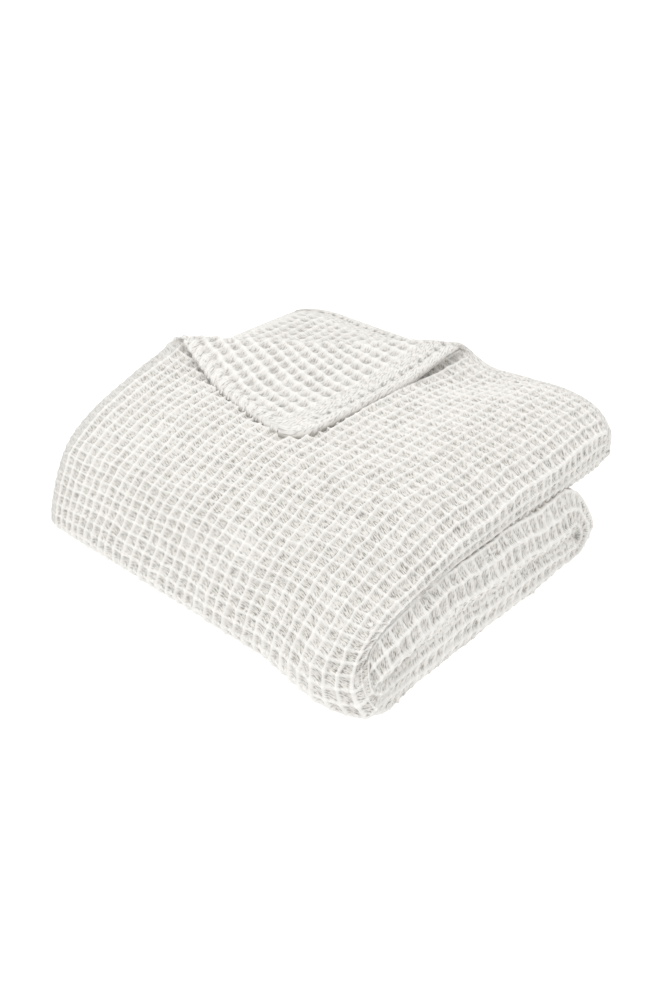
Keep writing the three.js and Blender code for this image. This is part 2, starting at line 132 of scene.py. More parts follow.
# Flap: the turned corner of the top layer, and the corner of the layer below that shows as a hump
FLAP_LEFT_Y = 167.0  # where the fold line meets the hem side
FLAP_BACK_X = 254.0  # where it meets the free end
FLAP_ROLL = {"middle": 5.2, "left": 13.0, "right": 15.0}  # reach of its roll
ROLL_RISE = {"middle": 4.6, "left": 5.4, "right": 6.4}  # half the roll's height
FLAP_REST = 4.2  # height over the layer below
FLAP_SETTLE = {"left": 72.0, "right": 88.0}  # behind the roll, where it lies down
FLAP_STRETCH = 1.13
FLAP_SHEAR = 0.12
FLAP_SPREAD = 7.0
LIFT = {"left": 2.6, "right": 10.5, "reach": 60.0, "least": 0.15}  # the roll lifts its own layer
FLAP_CORNER = {"radius": 21.0, "reach": 60.0}
HUMP_CORNER = {"radius": 38.0, "reach": 110.0}
FOLD_SPAN = math.hypot(FLAP_BACK_X, END_Y - FLAP_LEFT_Y)
FOLD_ALONG = (FLAP_BACK_X / FOLD_SPAN, (END_Y - FLAP_LEFT_Y) / FOLD_SPAN)
FOLD_ACROSS = (-FOLD_ALONG[1], FOLD_ALONG[0])
FLAP_LENGTH = (END_Y - FLAP_LEFT_Y) * FOLD_ACROSS[1]

# Free end of the top panel, which is rounded over
END_ROUND = {"reach": 38.0, "depth": 16.0, "share": 0.55, "clear": 16.0, "fade": 34.0}

# Length of a waffle cell along and across the cloth, as a share of its usual length
CELLS_ALONG = {
    "t": (0.0, 150.0, 280.0, 400.0, FRONT_END, FRONT_END + 60.0, CLOTH_END),
    "share": (1.05, 1.0, 0.88, 0.83, 0.83, 1.0, 1.0),
}
CELLS_ACROSS = {
    "s": (0.0, 330.0, 375.0, 405.0, 440.0, 1700.0),
    "share": (1.02, 1.0, 1.1, 1.08, 1.0, 1.0),
}

LOBE_TURN = {"radius": LOBE_EDGE, "flat": LOBE_FLAT, "swell": LOBE_PUFF}


def half_turn(x, depth, side, way, radius=TIGHT_RADIUS, flat=0.0, swell=0.0):
    """A half turn to one side of x; way is -1 inwards and 1 outwards."""
    return dict(turn=x, depth=depth, side=side, way=way, radius=radius, flat=flat, swell=swell)


# The quarter fold as runs and half turns; depth counts from the outer layer inwards
SECTION = (
    {"run": (0.0, TURN_X), "depth": 0.0, "swell": -1.0},
    half_turn(TURN_X, 1.5 * LAYER_PITCH, side=1.0, way=-1.0, **LOBE_TURN),
    {"run": (TURN_X, INNER_FOLD_X + TIGHT_RADIUS), "depth": 3.0 * LAYER_PITCH, "swell": 1.0},
    half_turn(INNER_FOLD_X + TIGHT_RADIUS, 2.5 * LAYER_PITCH, side=-1.0, way=1.0),
    {"run": (INNER_FOLD_X + TIGHT_RADIUS, INNER_TURN_X), "depth": 2.0 * LAYER_PITCH, "swell": 0.0},
    half_turn(INNER_TURN_X, 1.5 * LAYER_PITCH, side=1.0, way=1.0),
    {"run": (INNER_TURN_X, INNER_HEM_X), "depth": LAYER_PITCH, "swell": 0.0},
)


def piece_length(piece):
    """Length of cloth in one run or half turn of the quarter fold."""
    if "run" in piece:
        return abs(piece["run"][1] - piece["run"][0])
    return math.pi * piece["radius"] + piece["flat"]


SECTION_ENDS = np.cumsum([piece_length(piece) for piece in SECTION])
SECTION_LENGTH = float(SECTION_ENDS[-1])
LOBE_END = float(SECTION_ENDS[1])
TIGHT_START = float(SECTION_ENDS[2])
TIGHT_END = float(SECTION_ENDS[3])
LAST_RUN_START = float(SECTION_ENDS[5])
TURNS = [index for index, piece in enumerate(SECTION) if "turn" in piece]

# Levels of the mesh, and the places of its points in a cell of each level
NORMAL_STEP = 0.4  # millimetres
FINE = 3
MEDIUM = 2
COARSE = 1
HIDDEN = 0
FACE_STEPS = {FINE: (0.0, 0.085, 0.19, 0.81, 0.915), MEDIUM: (0.0, 0.25, 0.75)}
REVERSE_STEPS = {FINE: (0.17, 0.34, 0.5, 0.66, 0.83), MEDIUM: (0.2, 0.5, 0.8)}
CELLS_APART = {COARSE: 2, HIDDEN: 4}  # plain cloth has points only every few cells
SEED = 11


def ease(value):
    """Soft step from 0 to 1."""
    value = np.clip(value, 0.0, 1.0)
    return value * value * (3.0 - 2.0 * value)


def past(value, sizes):
    """How far a value lies past the start of some sizes, as a share of their reach."""
    return np.clip((value - sizes["start"]) / sizes["reach"], 0.0, sizes.get("most", 1.0))


def before(value, sizes):
    """The same towards smaller values."""
    return np.clip((sizes["start"] - value) / sizes["reach"], 0.0, sizes.get("most", 1.0))


def outwards(x, start=0.0):
    """Share of the way from a start to the crown of the outer turn."""
    return np.clip((x - start) / (FOLD_WIDTH - start), 0.0, 1.0)


def hill(place, middle, reach):
    """Soft hill of height 1 about a middle."""
    return np.exp(-(((place - middle) / reach) ** 2))


def dome(place, middle, reach):
    """Round top of height 1 about a middle, as half an ellipse."""
    return np.sqrt(np.clip(1.0 - ((place - middle) / reach) ** 2, 0.0, 1.0))


def beads(v):
    """One bead of yarn to each cell: 1 in its middle and 0 between two beads."""
    return 0.5 + 0.5 * np.cos(2.0 * math.pi * v)


def unit(vectors):
    """Vectors of the same direction and length 1."""
    return vectors / np.linalg.norm(vectors, axis=-1, keepdims=True)


def section_at(s):
    """Place x and depth of the cloth at length s across the quarter fold."""
    x = np.zeros_like(s)
    depth = np.zeros_like(s)
    start = 0.0
    for index, piece in enumerate(SECTION):
        end = SECTION_ENDS[index]
        here = np.ones(s.shape, bool)
        if index:
            here &= s >= start
        if index + 1 < len(SECTION):
            here &= s < end
        length = s[here] - start
        if "run" in piece:
            first, last = piece["run"]
            place = first + (last - first) * length / (end - start)
            swell = LOBE_PUFF * ease((place - TURN_X + PUFF_REACH) / PUFF_REACH)
            x[here] = place
            depth[here] = piece["depth"] + piece["swell"] * swell
        else:
            radius = piece["radius"]
            half = 0.5 * piece["flat"]
            level = np.clip(0.5 * math.pi * radius + half - length, -half, half)
            angle = (length + level - half) / radius
            grow = 1.0 + piece["swell"] / (half + radius)
            x[here] = piece["turn"] + piece["side"] * radius * np.sin(angle)
            depth[here] = piece["depth"] + piece["way"] * grow * (level + radius * np.cos(angle))
        start = end
    return x, depth


def in_front_bend(t):
    """How far length t lies inside the front bend: 1 at its nose, 0 outside it."""
    return ease(1.0 - np.abs(t - NOSE) / BEND_REACH)


def path_at(t, x, layer_depth):
    """Place y and height of the cloth at length t along the C-fold."""
    lobe = ease(past(x, LOBE_FULL))
    full = LOBE_FULL["squeeze"] * (1.0 - ease((t - NOSE) / LOBE_FULL["turn"]))
    squeeze = BEND_SQUEEZE + (full - BEND_SQUEEZE) * lobe
    swell = TUCK_SWELL["share"] * ease((t - CLOTH_END + TUCK_SWELL["reach"]) / TUCK_SWELL["reach"])
    depth = layer_depth * (1.0 - squeeze * in_front_bend(t))
    depth = depth - swell * (TUCK_SWELL["depth"] - depth)
    front_angle = np.clip((t - TOP_LENGTH) / FRONT_RADIUS, 0.0, math.pi)
    back_angle = np.clip((t - BOTTOM_END) / BACK_RADIUS, 0.0, math.pi)
    front_radius = FRONT_RADIUS - depth
    back_radius = BACK_RADIUS - depth
    places = (t < TOP_LENGTH, t < FRONT_END, t < BOTTOM_END, t < BACK_END)
    y = np.select(
        places,
        (
            END_Y - t,
            FRONT_BEND_Y - front_radius * np.sin(front_angle),
            FRONT_BEND_Y + t - FRONT_END,
            BACK_BEND_Y + back_radius * np.sin(back_angle),
        ),
        BACK_BEND_Y - (t - BACK_END),
    )
    z = np.select(
        places,
        (
            TOP_Z - depth,
            BASE_Z + FRONT_RADIUS + front_radius * np.cos(front_angle),
            BASE_Z + depth,
            BASE_Z + BACK_RADIUS - back_radius * np.cos(back_angle),
        ),
        BASE_Z + 2.0 * BACK_RADIUS - depth,
    )
    return y, z


def settled_height(x, y, z):
    """Height that a point settles to under the weight of the stack."""
    full = TOP_Z - BASE_Z
    level = np.maximum(z - BASE_Z, 0.0) / full
    front = before(y, FRONT_SAG)
    back = past(y, BACK_DIP)
    left = np.clip(1.0 - x / FOLD_WIDTH, 0.0, 1.0)
    dip = BACK_DIP["share"] * back**2 * hill(x, BACK_DIP["x"], BACK_DIP["width"])
    back_left = BACK_LEFT_RISE["share"] * left * ease(past(y, BACK_LEFT_RISE))
    edge = LEFT_EDGE_RISE["share"] * left ** LEFT_EDGE_RISE["power"] * ease(past(y, LEFT_EDGE_RISE))
    edge = edge * (1.0 - ease((y - LEFT_EDGE_RISE["end"]) / LEFT_EDGE_RISE["fade"]))
    right = ease(past(x, LOWER_SQUEEZE))
    lobes = np.interp(y, LOBE_SQUEEZE["y"], LOBE_SQUEEZE["share"])
    lower = LOWER_SQUEEZE["left"] + (lobes - LOWER_SQUEEZE["left"]) * right
    stand = LOBE_STAND["power"] * ease((x - LOBE_STAND["x"]) / LOBE_STAND["reach"])
    stand = stand * ease((y - LOBE_STAND["y"]) / LOBE_STAND["depth"])
    rise = full * ((1.0 - lower) * level + lower * level**2)
    rise = rise * (1.0 - FRONT_SAG["share"] * front**2 * level**stand)
    rise = rise * (1.0 - LEFT_FRONT_SAG["share"] * left**2 * ease(LEFT_FRONT_SAG["quick"] * front))
    rise = rise * (1.0 - dip + back_left) * (1.0 + edge)
    over = np.maximum(rise - SHOULDER["above"], 0.0)
    out = outwards(x, SHOULDER["start"]) ** SHOULDER["power"]
    return BASE_Z + rise - SHOULDER["drop"] * out * over**2 / (over + SHOULDER["soft"])


def settled_outline(x, y, z):
    """The uneven outline: rounded corners, the recessed top lobe and the turned lower lobes."""
    out = outwards(x)
    lip = past(z, LIP_RECESS) * out ** LIP_RECESS["power"]
    near = before(y, FRONT_LEFT_ROUND)
    near_left = np.clip(1.0 - x / FRONT_LEFT_ROUND["width"], 0.0, 1.0)
    low = 1.0 - ease(z / LOWER_LOBE_TURN["below"])
    turn = np.interp(y, LOWER_LOBE_TURN["y"], LOWER_LOBE_TURN["amount"])
    far = past(y, BACK_RIGHT_ROUND)
    far_out = outwards(x, BACK_RIGHT_ROUND["x"]) ** BACK_RIGHT_ROUND["power"]
    pull = np.clip(1.0 - x / FRONT_LEFT_PULL["width"], 0.0, 1.0) ** FRONT_LEFT_PULL["power"]
    pull = pull * ease(before(y, FRONT_LEFT_PULL))
    push = ease((x - FRONT_RIGHT_PUSH["x"]) / FRONT_RIGHT_PUSH["width"])
    push = push * ease(before(y, FRONT_RIGHT_PUSH))
    corner = outwards(x, FRONT_RIGHT_ROUND["x"]) ** FRONT_RIGHT_ROUND["power"]
    corner = corner * before(y, FRONT_RIGHT_ROUND) ** 2
    placed_x = x - LIP_RECESS["amount"] * lip
    placed_x = placed_x + FRONT_LEFT_ROUND["amount"] * near**2 * near_left**2
    placed_x = placed_x + turn * low * out ** LOWER_LOBE_TURN["power"]
    placed_y = y - BACK_RIGHT_ROUND["amount"] * far**2 * far_out
    placed_y = placed_y + FRONT_LEFT_PULL["amount"] * pull - FRONT_RIGHT_PUSH["amount"] * push
    placed_y = placed_y + FRONT_RIGHT_ROUND["amount"] * corner
    return placed_x, placed_y


def fold_frame(s, t):
    """Distance across the fold line of the turned corner, and the distance along it."""
    y = END_Y - t - FLAP_LEFT_Y
    across = s * FOLD_ACROSS[0] + y * FOLD_ACROSS[1]
    along = s * FOLD_ALONG[0] + y * FOLD_ALONG[1]
    return across, along


def between_ends(sizes, share):
    """A size that changes evenly from the left end of the roll to its right end."""
    return sizes["left"] + (sizes["right"] - sizes["left"]) * share


def along_roll(sizes, share):
    """A size of the roll at a share of its length: small in the middle, larger at its two ends."""
    ends = between_ends(sizes, share)
    return ends + (sizes["middle"] - ends) * np.sin(math.pi * share)


def flap_point(s, t):
    """Middle of the cloth where its corner is turned over."""
    across, along = fold_frame(s, t)
    share = np.clip(along / FOLD_SPAN, 0.0, 1.0)
    side = np.clip(s / np.maximum(s + t * FLAP_BACK_X / (END_Y - FLAP_LEFT_Y), 1.0), 0.0, 1.0)
    radius, rise = (along_roll(sizes, share) for sizes in (FLAP_ROLL, ROLL_RISE))
    lift = between_ends(LIFT, share)
    lift = lift * (LIFT["least"] + (1.0 - LIFT["least"]) * np.cos(math.pi * share) ** 2)
    angle = np.clip(across / radius, 0.0, math.pi)
    after = np.maximum(across - math.pi * radius, 0.0)
    turned = after > 0.0
    reach = np.where(across < 0.0, across, radius * np.sin(angle) - FLAP_STRETCH * after)
    raised = lift * ease((across + LIFT["reach"]) / LIFT["reach"])
    height = np.where(across < 0.0, raised, lift + rise * (1.0 - np.cos(angle)))
    roll_top = lift + 2.0 * rise
    falling = roll_top + (FLAP_REST - roll_top) * ease(after / between_ends(FLAP_SETTLE, share))
    under = lift * ease((reach + LIFT["reach"]) / LIFT["reach"])
    height = np.where(turned, np.maximum(falling, under + FLAP_REST), height)
    belly = np.sin(math.pi * np.clip(across / FLAP_LENGTH, 0.0, 1.0))
    along = along - FLAP_SHEAR * after
    along = along + np.where(turned, FLAP_SPREAD * belly * (2.0 * side - 1.0), 0.0)
    x = along * FOLD_ALONG[0] + reach * FOLD_ACROSS[0]
    y = FLAP_LEFT_Y + along * FOLD_ALONG[1] + reach * FOLD_ACROSS[1]
    full = np.full_like(x, TOP_Z)
    placed_x, placed_y = settled_outline(x, y, full)
    return np.stack((placed_x, placed_y, settled_height(x, y, full) + height), axis=-1)


def folded_point(s, t):
    """Middle of the cloth on its folds, before its corners and its free end are rounded."""
    x, depth = section_at(s)
    y, z = path_at(t, x, depth)
    placed_x, placed_y = settled_outline(x, y, z)
    tucked = ease((t - BACK_END + TUCK_RECESS["reach"]) / TUCK_RECESS["reach"])
    tucked = tucked * outwards(x) ** TUCK_RECESS["power"]
    tucked = tucked * ease((TUCK_RECESS["y"] - y) / TUCK_RECESS["depth"])
    placed_x = placed_x - TUCK_RECESS["amount"] * tucked
    points = np.stack((placed_x, placed_y, settled_height(x, y, z)), axis=-1)
    across, _ = fold_frame(s, t)
    corner = (s < TURN_X) & (t < TOP_LENGTH) & (across > -LIFT["reach"])
    points[corner] = flap_point(s[corner], t[corner])
    return points


def cloth_point(s, t):
    """Middle of the cloth at length s across it and t along it."""
    for corner, edge in ((FLAP_CORNER, s), (HUMP_CORNER, SECTION_LENGTH - s)):
        inside = np.clip(1.0 - edge / corner["radius"], 0.0, 1.0)
        start = corner["radius"] * (1.0 - np.sqrt(1.0 - inside**2))
        t = np.where(t < corner["reach"], start + t * (1.0 - start / corner["reach"]), t)
    points = folded_point(s, t)
    across, _ = fold_frame(s, t)
    from_fold = np.where(s < TURN_X, -across, FOLD_WIDTH)
    here = (t < END_ROUND["reach"]) & (from_fold > 0.0)
    if here.any():
        near = 1.0 - np.clip(t[here], 0.0, None) / END_ROUND["reach"]
        share = ease((from_fold[here] - END_ROUND["clear"]) / END_ROUND["fade"])
        share = END_ROUND["share"] * share * (1.0 - np.sqrt(1.0 - near**2))
        points[here, 2] -= share * (END_ROUND["depth"] - section_at(s[here])[1])
    return points


def cloth_normal(s, t):
    """Direction out of the outer face of the cloth."""
    along_s = cloth_point(s + NORMAL_STEP, t) - cloth_point(s - NORMAL_STEP, t)
    along_t = cloth_point(s, t + NORMAL_STEP) - cloth_point(s, t - NORMAL_STEP)
    return unit(np.cross(along_t, along_s))


def thickness_at(s, t):
    """Thickness of the sheet, pressed thinner where the inner layers pass the front bend."""
    inside = np.clip(section_at(s)[1] / LAYER_PITCH, 0.0, 1.0)
    return THICKNESS * (1.0 - BEND_PRESS * inside * in_front_bend(t))


def count_cells(steps, shares, cell):
    """Number of whole cells in a line of steps, and the cell place at each end of a step."""
    length = np.concatenate(([0.0], np.cumsum(steps / shares)))
    count = round(length[-1] / cell)
    return count, length / length[-1] * count


class Lattice:
    """The waffle cells of the cloth: u counts them across it and v along it."""

    SAMPLE_S = 330.0
    SAMPLES = 1600

    def __init__(self, cell):
        self.t = np.linspace(0.0, CLOTH_END, self.SAMPLES)
        line = folded_point(np.full(self.SAMPLES, self.SAMPLE_S), self.t)
        steps = np.linalg.norm(np.diff(line, axis=0), axis=1)
        shares = np.interp(self.t[1:], CELLS_ALONG["t"], CELLS_ALONG["share"])
        self.along, self.v = count_cells(steps, shares, cell)
        self.s = np.linspace(0.0, SECTION_LENGTH, self.SAMPLES)
        shares = np.interp(self.s[1:], CELLS_ACROSS["s"], CELLS_ACROSS["share"])
        self.across, self.u = count_cells(np.diff(self.s), shares, cell)
        noise = np.random.default_rng(SEED)
        shape = (self.across + 2, self.along + 2)
        self.shift_u = noise.uniform(-1.0, 1.0, shape)
        self.shift_v = noise.uniform(-1.0, 1.0, shape)
        self.pit = noise.uniform(-1.0, 1.0, shape)
        self.ridge = noise.uniform(-1.0, 1.0, shape)

    def s_at(self, u):
        """Length across the cloth at cell place u."""
        return np.interp(u, self.u, self.s)

    def u_at(self, s):
        """Cell place at length s across the cloth."""
        return np.interp(s, self.s, self.u)

    def t_at(self, v):
        """Length along the cloth at cell place v."""
        return np.interp(v, self.v, self.t)

    def v_at(self, t):
        """Cell place at length t along the cloth."""
        return np.interp(t, self.t, self.v)

    def between(self, table, u, v):
        """Value of a table of cell corners, eased between them."""
        i = np.clip(u.astype(int), 0, self.across)
        j = np.clip(v.astype(int), 0, self.along)
        share_u = ease(u - i)
        share_v = ease(v - j)
        low = table[i, j] * (1.0 - share_u) + table[i + 1, j] * share_u
        high = table[i, j + 1] * (1.0 - share_u) + table[i + 1, j + 1] * share_u
        return low * (1.0 - share_v) + high * share_v

    def cell_value(self, table, u, v):
        """Value of the cell that a point lies in."""
        i = np.clip(np.floor(u).astype(int), 0, self.across)
        j = np.clip(np.floor(v).astype(int), 0, self.along)
        return table[i, j]


# Where the two faces of the cloth show, in millimetres
FLAP_HIDDEN = 46.0  # past the fold line, where the outer face lies underneath
FLAP_SHOWN = -14.0  # and where the reverse starts to show
FLAP_FAR_S = 300.0
HUMP_T = 262.0
HUMP_BEHIND = -16.0
FRONT_CONTACT_T = FRONT_END - 14.0  # where the bottom panel meets the floor
SELVEDGE_SHOWN = 20.0
TIGHT_SHOWN = 16.0
LOBE_SHOWN = 30.0
CORNER_SHOWN = 170.0
SECOND_SHOWN = 60.0
COVERED = 26.0  # under the flap, inwards from its edges
BACK_BEND_SHOWN = {"before": 20.0, "after": 12.0}
BESIDE_LOBE = {"all": 5.0, "behind": 20.0, "tucked": 50.0}


def under_flap(s, t):
    """Where the top layer lies well under its own turned corner."""
    across, along = fold_frame(s, t)
    over = -across / FLAP_STRETCH
    along = along + FLAP_SHEAR * over
    corner_s = along * FOLD_ALONG[0] + over * FOLD_ACROSS[0]
    corner_t = END_Y - FLAP_LEFT_Y - along * FOLD_ALONG[1] - over * FOLD_ACROSS[1]
    covered = (over > COVERED) & (corner_s > COVERED) & (corner_t > COVERED)
    return covered & (s < TURN_X) & (t < TOP_LENGTH)


def face_level(s, t):
    """How closely the outer face is meshed at the middle of a cell."""
    across, _ = fold_frame(s, t)
    level = np.where(t < TOP_LENGTH, COARSE, HIDDEN)
    outer = s < LOBE_END
    behind = outer & (t > BOTTOM_END - BACK_BEND_SHOWN["before"])
    back_bend = behind & (t < BACK_END + BACK_BEND_SHOWN["after"])
    tight_fold = np.abs(s - 0.5 * (TIGHT_START + TIGHT_END)) < TIGHT_SHOWN
    second = (s > TIGHT_END) & (s < TIGHT_END + SECOND_SHOWN) & (t < TOP_LENGTH)
    level[back_bend | tight_fold | second] = MEDIUM
    level[outer & (t < FRONT_CONTACT_T)] = FINE
    level[outer & (s > TURN_X - BESIDE_LOBE["all"])] = FINE
    level[behind & (s > TURN_X - BESIDE_LOBE["behind"])] = FINE
    level[outer & (s > TURN_X - BESIDE_LOBE["tucked"]) & (t > BACK_END)] = FINE
    level[under_flap(s, t)] = COARSE
    level[(s < FLAP_FAR_S) & (t < TOP_LENGTH) & (across > FLAP_HIDDEN)] = COARSE
    level[(s < SELVEDGE_SHOWN) & (level <= COARSE)] = MEDIUM
    level[(s >= LOBE_END) & (s < LOBE_END + LOBE_SHOWN) & (np.abs(t - NOSE) < CORNER_SHOWN)] = FINE
    return level


def reverse_level(s, t):
    """How closely the inner face is meshed at the middle of a cell."""
    across, _ = fold_frame(s, t)
    level = np.where(t < TOP_LENGTH, COARSE, HIDDEN)
    level[(s < SELVEDGE_SHOWN) | (s > SECTION_LENGTH - SELVEDGE_SHOWN)] = MEDIUM
    level[(s < FLAP_FAR_S) & (t < TOP_LENGTH) & (across > FLAP_SHOWN)] = FINE
    x, _ = section_at(s)
    hump_across, _ = fold_frame(x, t)
    level[(s > LAST_RUN_START) & (t < HUMP_T) & (hump_across > HUMP_BEHIND)] = FINE
    return level


def places_along(lattice, levels, steps):
    """Places v of the points of one row and their levels."""
    bends = ((TOP_LENGTH, FRONT_END), (BOTTOM_END, BACK_END))
    bends = [(lattice.v_at(first), lattice.v_at(last)) for first, last in bends]
    v = []
    kind = []
    for j in range(lattice.along):
        level = levels[j]
        if level <= COARSE:
            bend = any(first <= j < last for first, last in bends)
            if j % CELLS_APART[level] == 0 or bend:
                v.append(float(j))
                kind.append(COARSE)
            continue
        inside = steps[level]
        if inside[0] > 0.0 and (j == 0 or levels[j - 1] <= COARSE):
            v.append(float(j))
            kind.append(COARSE if j else level)
        v.extend(j + step for step in inside)
        kind.extend(level for _ in inside)
    v.append(float(lattice.along))
    kind.append(levels[-1])
    return v, kind


def row_places(lattice, levels, steps):
    """Rows of the mesh as (u, list of v, list of levels), closer where the cells show."""
    rows = []
    turn_cells = set()
    for index in TURNS:
        first = lattice.u_at(SECTION_ENDS[index - 1])
        last = lattice.u_at(SECTION_ENDS[index])
        turn_cells.update(range(int(first), int(last) + 1))
    for i in range(lattice.across):
        most = max(levels[i])
        if most <= COARSE and i not in turn_cells:
            shares = (0.0,) if i % CELLS_APART[COARSE] == 0 else ()
        else:
            shares = steps[max(most, MEDIUM)]
            if i == 0 and shares[0] > 0.0:
                shares = (0.0,) + shares
        for share in shares:
            near = levels[i]
            if share == 0.0 and i:
                near = np.maximum(levels[i], levels[i - 1])
            rows.append((i + share, *places_along(lattice, near, steps)))
    _, v, kind = rows[-1]
    rows.append((float(lattice.across), v, kind))
    return rows


def zip_rows(here, there):
    """Triangles between two neighbouring rows, outwards on the outer face.

    A row is its own place, the places of its points and their numbers. The diagonals are mirrored
    about the middle of each cell.
    """
    here_u, here_v, first = here
    there_u, there_v, second = there
    faces = []
    i = 0
    j = 0
    left = (0.5 * (here_u + there_u)) % 1.0 < 0.5
    while i + 1 < len(first) or j + 1 < len(second):
        if j + 1 >= len(second):
            step_here = True
        elif i + 1 >= len(first):
            step_here = False
        elif here_v[i + 1] == there_v[j + 1]:
            near = (0.5 * (here_v[i] + here_v[i + 1])) % 1.0 < 0.5
            step_here = left == near
        else:
            step_here = here_v[i + 1] < there_v[j + 1]
        if step_here:
            faces.append((first[i], first[i + 1], second[j]))
            i += 1
        else:
            faces.append((first[i], second[j + 1], second[j]))
            j += 1
    return faces


# Relief of the cells, and the painted shade in them: 0 on a ridge and 1 at the bottom of a pit
RIDGE_CORE = 0.1  # flat crest, as a share of a ridge
RUNG_SHARE = 0.8  # the ridges across the cloth stand lower than those along it
RIDGE_VARIES = 0.22
PIT_VARIES = 0.18
# Cloth that is meshed plain gets an even painted shade
PLAIN_SHADE = 0.4  # of cloth that is meshed plain
# Painted shade on the reverse: some on its ridges, more in its pits, and dark in its hollows; its pits are
# deeper
REVERSE_SHADE = 0.24
REVERSE_PIT = 0.9
REVERSE_DEPTH = 1.4
REVERSE_HOLLOW_SHADE = 0.35
CLOTH_LEFT = 0.45  # millimetres between the bottom of a pit and the other face

# Slow waves that bend the grid, in radians to a cell
DRIFT_SHARE = 0.8
SECOND_WAVE = 0.6
DRIFT_ACROSS = {"main": 0.71, "bend": 0.9, "slow": 0.23, "second": 0.33, "slant": -0.41, "start": 1.0}
DRIFT_ALONG = {"main": 0.63, "bend": 1.1, "slow": 0.19, "second": 0.37, "slant": 0.29, "start": 2.0}

# Hem of the free end: places in cells from the edge, heights in millimetres, and painted shades
HEM = {
    "face": 0.98,
    "face_soft": 0.14,
    "reverse_soft": 0.24,
    "corner": 1.9,
    "corner_soft": 0.9,
    "rim": 0.34,
    "rim_reach": 0.46,
    "row": 0.83,
    "row_reach": 0.13,
    "stitch_reach": 0.13,
    "band_soft": 0.2,
}
# Heights of the hem; its stitch holes dip, and also get dark painted shade
HEM_HEIGHT = {"rim": 1.7, "band": 0.4, "row": -0.6, "hollow_shade": -0.8}
HEM_SHADE = {"rim": 0.64, "band": 0.08, "row": 0.25, "corner": -0.02, "edge": 0.7}

# Side edges in the same units: a flat ladder of painted shade on the face, and loops of yarn on the
# reverse with painted shade between them
LADDER = {"width": 0.78, "soft": 0.12, "drop": 0.5, "shade": 1.0, "bead": -0.4, "gap": 0.4, "fade": 0.6}
LOOP = {"width": 0.8, "soft": 0.3, "slant": 0.6, "middle": 0.35, "reach": 0.5, "base": 0.3, "rise": 2.4}
LOOP_SHADE = {"base": 0.5, "valley": 0.4, "bead": -0.55, "edge": 0.45}
LOOP_GAP_SHADE = {"row": 0.83, "reach": 0.12, "power": 4, "share": 0.7}
INNER_LOOPS = 0.2  # loops of the inner hem, as a share of those on the flap

# Rim that closes the edges of the sheet, in millimetres
RIM_BULGE = 1.8
LOOP_BULGE = 1.7
EDGE_DROOP = 5.0
RIM_CELLS = 0.3  # its width in cells


def drift(wave, over, beside):
    """How far a line of the grid strays at places over its length and beside it."""
    main = np.sin(wave["main"] * over + wave["bend"] * np.sin(wave["slow"] * beside))
    second = np.sin(wave["second"] * over + wave["slant"] * beside + wave["start"])
    return main + SECOND_WAVE * second


